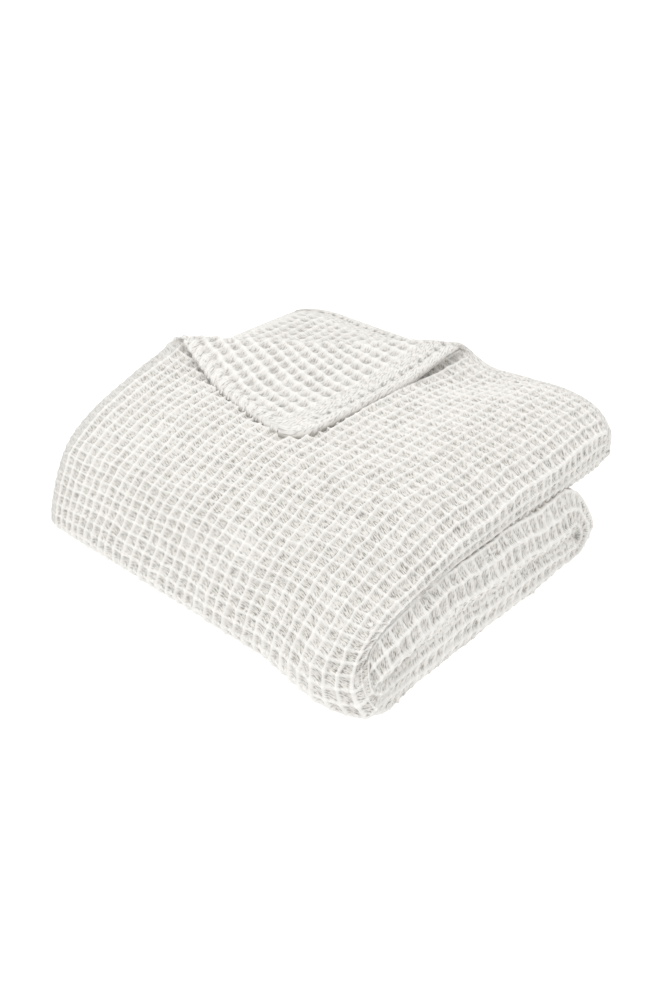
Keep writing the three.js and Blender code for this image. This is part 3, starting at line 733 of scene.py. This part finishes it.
class Sheet:
    """Points and faces of the cloth while it is made."""

    def __init__(self, lattice, sizes):
        self.lattice = lattice
        self.sizes = sizes
        self.points = []
        self.uv = []
        self.pits = []
        self.hollow_shades = []
        self.count = 0
        self.faces = []

    def add(self, points, u, v, pits, hollow_shades):
        """Adds points with their cell places and painted shades; returns the number of the first."""
        start = self.count
        self.points.append(points)
        self.uv.append(np.stack((u, v), axis=-1))
        self.pits.append(pits)
        self.hollow_shades.append(hollow_shades)
        self.count += len(points)
        return start

    def relief(self, side, u, v, shown):
        """Height of the waffle over the sheet's face, with the painted shade of its pits and of its dark
        hollows.
        """
        sizes = self.sizes
        lattice = self.lattice
        offset = 0.0 if side > 0 else 0.5
        rise = sizes.ridge_rise / MILLIMETRE
        depth = sizes.pit_depth / MILLIMETRE * (1.0 if side > 0 else REVERSE_DEPTH)
        width = sizes.ridge_width if side > 0 else sizes.reverse_ridge_width
        to_u = np.abs((u - offset + 0.5) % 1.0 - 0.5)
        to_v = np.abs((v - offset + 0.5) % 1.0 - 0.5)
        core = RIDGE_CORE * width
        ridge_u = 1.0 - ease((to_u - core) / (width - core))
        ridge_v = RUNG_SHARE * (1.0 - ease((to_v - core) / (width - core)))
        ridge = 1.0 - (1.0 - ridge_u) * (1.0 - ridge_v)
        pit_scale = 1.0 + PIT_VARIES * lattice.cell_value(lattice.pit, u - offset, v - offset)
        crest = rise * (1.0 + RIDGE_VARIES * lattice.between(lattice.ridge, u, v))
        height = crest * ridge - depth * pit_scale * (1.0 - ridge)
        # Painted shade, darker towards the bottom of each pit
        pit = (1.0 - ridge) * pit_scale
        hollow_shade = np.zeros_like(pit)
        # The reverse gets painted shade on its ridges as well, and dark painted shade deep in its pits
        if side < 0:
            pit = REVERSE_SHADE + (REVERSE_PIT - REVERSE_SHADE) * pit
            hollow_shade = REVERSE_HOLLOW_SHADE * pit**2
        for profile in (self.selvedge, self.hem):
            edge_height, edge_pit_shade, edge_hollow_shade, share = profile(side, u, v)
            height = height * (1.0 - share) + edge_height * share
            pit = pit * (1.0 - share) + edge_pit_shade * share
            hollow_shade = hollow_shade * (1.0 - share) + edge_hollow_shade * share
        return height * shown, np.where(shown > 0.0, pit, PLAIN_SHADE), hollow_shade * shown

    def hem(self, side, u, v):
        """The turned hem along the free end: a round rim, a stitched row and a plain band.

        The thick corner of the flap, where the hem and the selvedge meet, belongs to it.
        """
        width = self.sizes.hem_width / self.sizes.cell
        soft = HEM["reverse_soft"]
        share = 1.0 - ease((v - width + 0.5 * soft) / soft)
        if side > 0:
            share = 1.0 - ease((v - HEM["face"]) / HEM["face_soft"])
        corner = 1.0 - ease((np.hypot(u, v) - HEM["corner"]) / HEM["corner_soft"])
        rim = np.maximum(dome(v, HEM["rim"], HEM["rim_reach"]), corner)
        row = hill(v, HEM["row"], HEM["row_reach"]) * (1.0 - corner)
        # The stitch holes, which dip and get dark painted shade
        hollow_shade = hill(u % 1.0, 0.5, HEM["stitch_reach"]) * row
        band = ease((v - HEM["row"]) / HEM["band_soft"])
        height = HEM_HEIGHT["rim"] * rim + HEM_HEIGHT["band"] * band * (1.0 - corner)
        height = height + HEM_HEIGHT["row"] * row + HEM_HEIGHT["hollow_shade"] * hollow_shade
        # Painted shade of the hem: grey on its rim and band, darker along its row of stitches
        pit = HEM_SHADE["rim"] + HEM_SHADE["band"] * band
        pit = pit + HEM_SHADE["row"] * row + HEM_SHADE["corner"] * corner
        return height, pit, hollow_shade, np.maximum(share, corner if side < 0 else 0.0)

    def selvedge(self, side, u, v):
        """The side edges: one chunky loop of yarn to each cell, and a flat ladder of painted shade on the
        face.
        """
        edge = np.minimum(u, self.lattice.across - u)
        if side > 0:
            bead = beads(v)
            share = 1.0 - ease((edge - LADDER["width"]) / LADDER["soft"])
            # The ladder is painted grey as shade, lighter at its beads, with painted shade in the gaps
            # between them
            pit = LADDER["shade"] + LADDER["bead"] * bead
            gap = LADDER["gap"] * (1.0 - LADDER["fade"] * bead)
            return LADDER["drop"] * (bead - 1.0), pit, gap, share
        bead = beads(v - LOOP["slant"] * edge)
        share = 1.0 - ease((edge - LOOP["width"]) / LOOP["soft"])
        loops = np.where(u < 0.5 * self.lattice.across, 1.0, INNER_LOOPS)
        height = LOOP["base"] + LOOP["rise"] * loops * bead
        height = height * dome(edge, LOOP["middle"], LOOP["reach"])
        # Painted shade of the loops, darker between them and in the gaps of their row
        pit = LOOP_SHADE["base"] + loops * (LOOP_SHADE["valley"] + LOOP_SHADE["bead"] * bead)
        gap = (1.0 - bead) ** LOOP_GAP_SHADE["power"] * hill(edge, LOOP_GAP_SHADE["row"], LOOP_GAP_SHADE["reach"])
        return height, pit, LOOP_GAP_SHADE["share"] * gap, share

    def place(self, side, u, v, kind):
        """Points of one face at cell places u and v."""
        lattice = self.lattice
        shown = np.where(kind > COARSE, 1.0, 0.0)
        edge = np.minimum(np.minimum(u, lattice.across - u), np.minimum(v, lattice.along - v))
        free = ease(edge) * shown * self.sizes.wander
        stray_u = lattice.between(lattice.shift_u, u, v) + DRIFT_SHARE * drift(DRIFT_ACROSS, v, u)
        stray_v = lattice.between(lattice.shift_v, u, v) + DRIFT_SHARE * drift(DRIFT_ALONG, u, v)
        s = lattice.s_at(u + free * stray_u)
        t = lattice.t_at(v + free * stray_v)
        height, pit, hollow_shade = self.relief(side, u, v, shown)
        half = 0.5 * thickness_at(s, t)
        height = np.maximum(height, CLOTH_LEFT - 2.0 * half)
        points = cloth_point(s, t) + cloth_normal(s, t) * (side * (half + height))[:, None]
        points[:, 2] = np.maximum(points[:, 2], 0.0)
        return points, pit, hollow_shade

    def add_face(self, side, levels, steps):
        """One face of the cloth; returns its rows of point numbers with their places."""
        rows = []
        for u, v, kind in row_places(self.lattice, levels, steps):
            v = np.array(v)
            across = np.full(len(v), u)
            points, pit, hollow_shade = self.place(side, across, v, np.array(kind))
            start = self.add(points, across, v, pit, hollow_shade)
            rows.append((u, v, range(start, start + len(v))))
        for here, there in zip(rows, rows[1:]):
            self.join(here, there, side < 0)
        return rows

    def join(self, here, there, flip):
        """Faces between two rows, turned round where flip says so."""
        faces = zip_rows(here, there)
        if flip:
            faces = [(a, c, b) for a, b, c in faces]
        self.faces.extend(faces)

    def along_edge(self, edge, places):
        """Points of an edge, which is a row, at other places along it."""
        _, own, numbers = edge
        points = np.concatenate(self.points)[numbers]
        return np.stack([np.interp(places, own, points[:, axis]) for axis in range(3)], axis=-1)

    def add_rim(self, outer, inner, places, u, v, loops, shade, flip):
        """Closes an edge with a round rim; it stands out more at its loops and hangs on the flap."""
        here = self.along_edge(outer, places)
        facing = self.along_edge(inner, places)
        middle = 0.5 * (here + facing)
        away = np.cross(np.gradient(middle, axis=0), here - facing)
        if not flip:
            away = -away
        middle = middle + unit(away) * (RIM_BULGE + LOOP_BULGE * loops)[:, None]
        across, _ = fold_frame(self.lattice.s_at(u), self.lattice.t_at(v))
        middle[:, 2] -= EDGE_DROOP * ease(across / FLAP_HIDDEN - 1.0)
        middle[:, 2] = np.maximum(middle[:, 2], 0.0)
        # The rim gets the painted shade of its edge, and no dark hollows
        start = self.add(middle, u, v, shade, np.zeros(len(u)))
        rim = (outer[0], places, range(start, start + len(u)))
        self.join(outer, rim, flip)
        self.join(rim, inner, flip)

    def close(self, outer, inner):
        """Closes the four edges."""
        for index, flip in ((0, True), (-1, False)):
            edges = (outer[index], inner[index])
            u = edges[0][0] + (-RIM_CELLS if flip else RIM_CELLS)
            v = np.union1d(edges[0][1], edges[1][1])
            across, _ = fold_frame(np.zeros(len(v)), self.lattice.t_at(v))
            loops = (1.0 if flip else INNER_LOOPS) * beads(v)
            # Painted shade of the side rims: that of the loops on the flap, of the ladder elsewhere
            shade = np.where(across > 0.0, LOOP_SHADE["edge"], LADDER["shade"])
            self.add_rim(*edges, v, np.full(len(v), u), v, loops, shade, flip)
        for index, flip in ((0, False), (-1, True)):
            edges = [
                (0.0, [row[0] for row in face], [row[2][index] for row in face]) for face in (outer, inner)
            ]
            u = np.union1d(edges[0][1], edges[1][1])
            v = np.full(len(u), outer[0][1][index] + (RIM_CELLS if flip else -RIM_CELLS))
            # The end rims get the hem's painted shade
            shade = np.full(len(u), HEM_SHADE["edge"])
            self.add_rim(*edges, u, u, v, np.zeros(len(u)), shade, flip)


def linear(hex_colour):
    """Linear colour of an sRGB hex value."""
    channels = []
    for shift in (16, 8, 0):
        value = ((hex_colour >> shift) & 255) / 255.0
        if value <= 0.04045:
            channels.append(value / 12.92)
        else:
            channels.append(((value + 0.055) / 1.055) ** 2.4)
    return tuple(channels)


LENGTH = {"unit": "LENGTH", "precision": 5}


def number(name, description, default, **kind):
    """Property that holds one number."""
    return bpy.props.FloatProperty(name=name, description=description, default=default, **kind)


def colour(name, description, hex_colour):
    """Property that holds a colour."""
    return bpy.props.FloatVectorProperty(
        name=name,
        description=description,
        subtype="COLOR",
        size=3,
        min=0.0,
        max=1.0,
        default=linear(hex_colour),
    )


class ThrowSizes(bpy.types.PropertyGroup):
    """Sizes of the cloth that a user may change."""

    cell: number("Waffle cell", "Width of one waffle cell", 12.15 * MILLIMETRE, **LENGTH)
    ridge_rise: number("Ridge rise", "Height of the ridges over the sheet", 1.5 * MILLIMETRE, **LENGTH)
    pit_depth: number("Pit depth", "Depth of the pits under the sheet's face", 2.0 * MILLIMETRE, **LENGTH)
    ridge_width: number("Ridge width", "Reach of a ridge to each side on the face, in cells", 0.17)
    reverse_ridge_width: number(
        "Reverse ridge width", "Reach of a ridge to each side on the reverse, in cells", 0.31
    )
    hem_width: number("Hem width", "Width of the turned hem", 27.0 * MILLIMETRE, **LENGTH)
    wander: number("Wander", "How far the ridges stray from a straight grid, in cells", 0.085)
    yarn: number("Yarn spacing", "Spacing of the yarns drawn in the pits", 1.9 * MILLIMETRE, **LENGTH)


class ThrowColours(bpy.types.PropertyGroup):
    """Colours of the cloth, of its painted shades, and of the floor."""

    ridge: colour("Ridge", "Cotton on the ridges", 0xF5F3EF)
    # Painted shade: the colour that the bottoms of the cells are darkened to
    pit: colour("Pit", "Cotton at the bottom of a cell", 0xDDDAD5)
    # Dark painted shade between the yarns, in stitch holes, between loops and in the reverse's pits
    gap: colour("Gap", "Shade between the yarns", 0x888580)
    floor: colour("Floor", "Pale floor", 0xC8C8C8)


class StageSizes(bpy.types.PropertyGroup):
    """Camera and light."""

    azimuth: number(
        "Azimuth",
        "Direction that the camera looks from, round the stack",
        math.radians(40.5),
        subtype="ANGLE",
    )
    elevation: number(
        "Elevation", "Height of the camera over the horizon", math.radians(32.0), subtype="ANGLE"
    )
    distance: number("Distance", "From the camera to the point that it looks at", 0.882, unit="LENGTH")
    lens: number("Lens", "Focal length", 34.2)
    sky: number("Sky", "Strength of the white surround", 0.84)
    key: number("Key light", "Power of the large soft light", 20.5, unit="POWER")


def add_node(tree, kind, links=None, **settings):
    """Adds a node with its settings; links maps its inputs to a value or another node's output."""
    node = tree.nodes.new(kind)
    for name, value in settings.items():
        setattr(node, name, value)
    for name, value in (links or {}).items():
        if isinstance(value, bpy.types.NodeSocket):
            tree.links.new(value, node.inputs[name])
        else:
            node.inputs[name].default_value = value
    return node


# Yarn and painted shades of the cotton; the yarn is drawn coarser than real yarn, so that it shows
STRAND = {"length": 2.4, "width": 0.62, "turn": math.radians(20.0), "most": 0.5}  # in yarn spacings
PATCH = {"size": 55.2, "shade": 0.06}  # soft uneven patches, in millimetres
# How the painted shade grows towards a pit's bottom, and the most painted shade between the yarns
PIT_POWER = 1.4
GAP_MOST = 0.85
YARN_RELIEF = 1.2 * MILLIMETRE


def cotton_waffle(sizes, colours):
    """Cotton waffle: soft, matte and off-white, woven in deep cells.

    The long loose floats of the ridges scatter the light and look near white; the plain weave at the
    bottom of a cell is tighter and shows its yarns. The grey of the cell bottoms is painted shade, as are
    the dark lines between the yarns and the dark hollows of stitches and loops.
    """
    material = bpy.data.materials.new("cotton_waffle")
    material.use_nodes = True
    tree = material.node_tree
    tree.nodes.clear()
    cell = sizes.cell / MILLIMETRE
    yarn = sizes.yarn / MILLIMETRE
    cells = add_node(tree, "ShaderNodeUVMap", uv_map="cells").outputs["UV"]
    # Painted shade of the pits: 0 on a ridge and 1 at the bottom of a pit
    pit = add_node(tree, "ShaderNodeAttribute", attribute_name="pit").outputs["Fac"]
    strand_map = add_node(
        tree,
        "ShaderNodeMapping",
        {
            "Vector": cells,
            "Rotation": (0.0, 0.0, STRAND["turn"]),
            "Scale": (STRAND["length"] * yarn / cell, STRAND["width"] * yarn / cell, 1.0),
        },
        vector_type="TEXTURE",
    ).outputs["Vector"]
    strands = add_node(
        tree,
        "ShaderNodeTexNoise",
        {"Vector": strand_map, "Scale": 1.0, "Detail": 2.0, "Roughness": 0.6},
    ).outputs["Fac"]
    broad = add_node(
        tree,
        "ShaderNodeTexNoise",
        {"Vector": cells, "Scale": cell / PATCH["size"], "Detail": 2.0, "Roughness": 0.5},
    ).outputs["Fac"]
    ranges = {
        "patch": (broad, 0.3, 0.7, -PATCH["shade"], PATCH["shade"]),
        "gap": (strands, 0.5, 0.63, 0.0, 1.0),
        "gap_most": (pit, 0.2, 1.0, 0.0, GAP_MOST),
        "strand": (strands, 0.5, 0.32, 0.0, STRAND["most"]),
    }
    shares = {}
    for name, values in ranges.items():
        links = dict(zip(("Value", "From Min", "From Max", "To Min", "To Max"), values))
        shares[name] = add_node(tree, "ShaderNodeMapRange", links).outputs["Result"]
    # Painted shade, stronger towards a pit's bottom, with soft random patches of tone
    deep = add_node(tree, "ShaderNodeMath", {0: pit, 1: PIT_POWER}, operation="POWER").outputs["Value"]
    shade = add_node(
        tree, "ShaderNodeMath", {0: deep, 1: shares["patch"]}, operation="ADD", use_clamp=True
    ).outputs["Value"]
    # Painted shade in lines between the yarns, stronger in the pits
    gap_shades = add_node(
        tree, "ShaderNodeMath", {0: shares["gap"], 1: shares["gap_most"]}, operation="MULTIPLY"
    ).outputs["Value"]
    # Dark painted shade in the hollows: stitch holes, gaps between loops and the reverse's pits
    hollow_shade = add_node(tree, "ShaderNodeAttribute", attribute_name="hollow_shade").outputs["Fac"]
    # The cloth is mixed from the ridge colour towards painted shade: the pit colour in the pits, and the
    # dark colour between the yarns and in the hollows; the strands bring back the ridge colour
    layers = (
        (shade, colours.pit),
        (gap_shades, colours.gap),
        (shares["strand"], colours.ridge),
        (hollow_shade, colours.gap),
    )
    # A colour mix has its share in input 0, its two colours in 6 and 7 and its result in output 2
    cloth = (*colours.ridge, 1.0)
    for share, over in layers:
        links = {0: share, 6: cloth, 7: (*over, 1.0)}
        cloth = add_node(tree, "ShaderNodeMix", links, data_type="RGBA").outputs[2]
    bump = add_node(
        tree,
        "ShaderNodeBump",
        {"Height": strands, "Strength": 0.5, "Distance": YARN_RELIEF},
        invert=True,
    ).outputs["Normal"]
    cotton = add_node(
        tree,
        "ShaderNodeBsdfPrincipled",
        {
            "Base Color": cloth,
            "Roughness": 0.92,
            "IOR": 1.45,
            "Specular IOR Level": 0.2,
            "Sheen Weight": 0.2,
            "Sheen Roughness": 0.5,
            "Normal": bump,
        },
    ).outputs["BSDF"]
    add_node(tree, "ShaderNodeOutputMaterial", {"Surface": cotton})
    return material


class THROW_OT_blanket(bpy.types.Operator):
    """Make the folded cloth with its waffle cells and hems"""

    bl_idname = "throw.blanket"
    bl_label = "Blanket"

    def execute(self, context):
        sizes = context.scene.throw_sizes
        colours = context.scene.throw_colours
        lattice = Lattice(sizes.cell / MILLIMETRE)
        middle_u = np.arange(lattice.across) + 0.5
        middle_v = np.arange(lattice.along) + 0.5
        s, t = np.meshgrid(lattice.s_at(middle_u), lattice.t_at(middle_v), indexing="ij")
        sheet = Sheet(lattice, sizes)
        outer = sheet.add_face(1.0, face_level(s, t), FACE_STEPS)
        inner = sheet.add_face(-1.0, reverse_level(s, t), REVERSE_STEPS)
        sheet.close(outer, inner)
        points = (np.concatenate(sheet.points) - np.array(STACK_MIDDLE)) * MILLIMETRE
        mesh = bpy.data.meshes.new("blanket")
        mesh.from_pydata(points.tolist(), [], sheet.faces)
        if mesh.validate():
            raise RuntimeError("the cloth has faces that don't close")
        mesh.shade_smooth()
        corner = np.empty(len(mesh.loops), np.int32)
        mesh.loops.foreach_get("vertex_index", corner)
        cells = mesh.uv_layers.new(name="cells")
        cells.data.foreach_set("uv", np.concatenate(sheet.uv)[corner].ravel())
        # Painted shades of the pits and of the dark hollows, for the material
        for name, values in (("pit", sheet.pits), ("hollow_shade", sheet.hollow_shades)):
            attribute = mesh.attributes.new(name, "FLOAT", "POINT")
            attribute.data.foreach_set("value", np.concatenate(values))
        mesh.materials.append(cotton_waffle(sizes, colours))
        blanket = bpy.data.objects.new("blanket_cloth", mesh)
        context.scene.collection.objects.link(blanket)
        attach(blanket, "root")
        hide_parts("blanket")
        return {"FINISHED"}


# Stage in metres; LOOK_AT is in the stack's millimetres
FLOOR_SIDE = 40.0
FLOOR_GLOW = 0.64  # the photo's floor is near white, without a shadow
LOOK_AT = (242.0, 160.0, 55.0)
SENSOR = 36.0
KEY_PLACE = (-0.25, -0.5, 2.2)
KEY_SIDE = 2.0


class THROW_OT_stage(bpy.types.Operator):
    """Make the pale floor, the soft light and the camera"""

    bl_idname = "throw.stage"
    bl_label = "Stage"

    def execute(self, context):
        stage = context.scene.throw_stage
        colours = context.scene.throw_colours
        bpy.ops.object.select_all(action="DESELECT")
        bpy.ops.mesh.primitive_plane_add(size=FLOOR_SIDE)
        floor = context.object
        floor.name = "floor"
        paint = bpy.data.materials.new("matt_floor_paint")
        paint.use_nodes = True
        shader = paint.node_tree.nodes["Principled BSDF"]
        look = {
            "Base Color": (*colours.floor, 1.0),
            "Roughness": 0.9,
            "Specular IOR Level": 0.1,
            "Emission Color": (1.0, 1.0, 1.0, 1.0),
            "Emission Strength": FLOOR_GLOW,
        }
        for name, value in look.items():
            shader.inputs[name].default_value = value
        floor.data.materials.append(paint)
        world = bpy.data.worlds.new("white_surround")
        world.use_nodes = True
        surround = world.node_tree.nodes["Background"]
        surround.inputs["Color"].default_value = (1.0, 1.0, 1.0, 1.0)
        surround.inputs["Strength"].default_value = stage.sky
        context.scene.world = world
        target = (Vector(LOOK_AT) - Vector(STACK_MIDDLE)) * MILLIMETRE
        bpy.ops.object.light_add(type="AREA", location=KEY_PLACE)
        key = context.object
        key.name = "soft_key"
        key.data.shape = "DISK"
        key.data.size = KEY_SIDE
        key.data.energy = stage.key
        key.rotation_euler = (target - Vector(KEY_PLACE)).to_track_quat("-Z", "Y").to_euler()
        back = Vector(
            (
                math.sin(stage.azimuth) * math.cos(stage.elevation),
                -math.cos(stage.azimuth) * math.cos(stage.elevation),
                math.sin(stage.elevation),
            )
        )
        bpy.ops.object.camera_add(location=target + stage.distance * back)
        camera = context.object
        camera.name = "photo_camera"
        camera.rotation_euler = (-back).to_track_quat("-Z", "Y").to_euler()
        camera.data.sensor_fit = "VERTICAL"
        camera.data.sensor_height = SENSOR
        camera.data.lens = stage.lens
        context.scene.camera = camera
        context.scene.view_settings.view_transform = "Standard"
        return {"FINISHED"}


class VIEW3D_PT_throw(bpy.types.Panel):
    """Sizes, colours and steps of the folded throw"""

    bl_label = "Folded throw"
    bl_space_type = "VIEW_3D"
    bl_region_type = "UI"
    bl_category = "Throw"

    def draw(self, context):
        scene = context.scene
        for group in (scene.throw_sizes, scene.throw_colours, scene.throw_stage):
            for name in group.__annotations__:
                self.layout.prop(group, name)
        self.layout.operator(THROW_OT_blanket.bl_idname)
        self.layout.operator(THROW_OT_stage.bl_idname)


CLASSES = (
    ThrowSizes,
    ThrowColours,
    StageSizes,
    THROW_OT_blanket,
    THROW_OT_stage,
    VIEW3D_PT_throw,
)


def register():
    """Adds the classes and the scene's properties to Blender."""
    for kind in CLASSES:
        bpy.utils.register_class(kind)
    bpy.types.Scene.throw_sizes = bpy.props.PointerProperty(type=ThrowSizes)
    bpy.types.Scene.throw_colours = bpy.props.PointerProperty(type=ThrowColours)
    bpy.types.Scene.throw_stage = bpy.props.PointerProperty(type=StageSizes)


def unregister():
    """Takes them out again."""
    del bpy.types.Scene.throw_stage
    del bpy.types.Scene.throw_colours
    del bpy.types.Scene.throw_sizes
    for kind in reversed(CLASSES):
        bpy.utils.unregister_class(kind)


def main():
    """Makes the throw and its stage."""
    register()
    bpy.ops.throw.blanket()
    bpy.ops.throw.stage()
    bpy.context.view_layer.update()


if __name__ == "__main__":
    main()
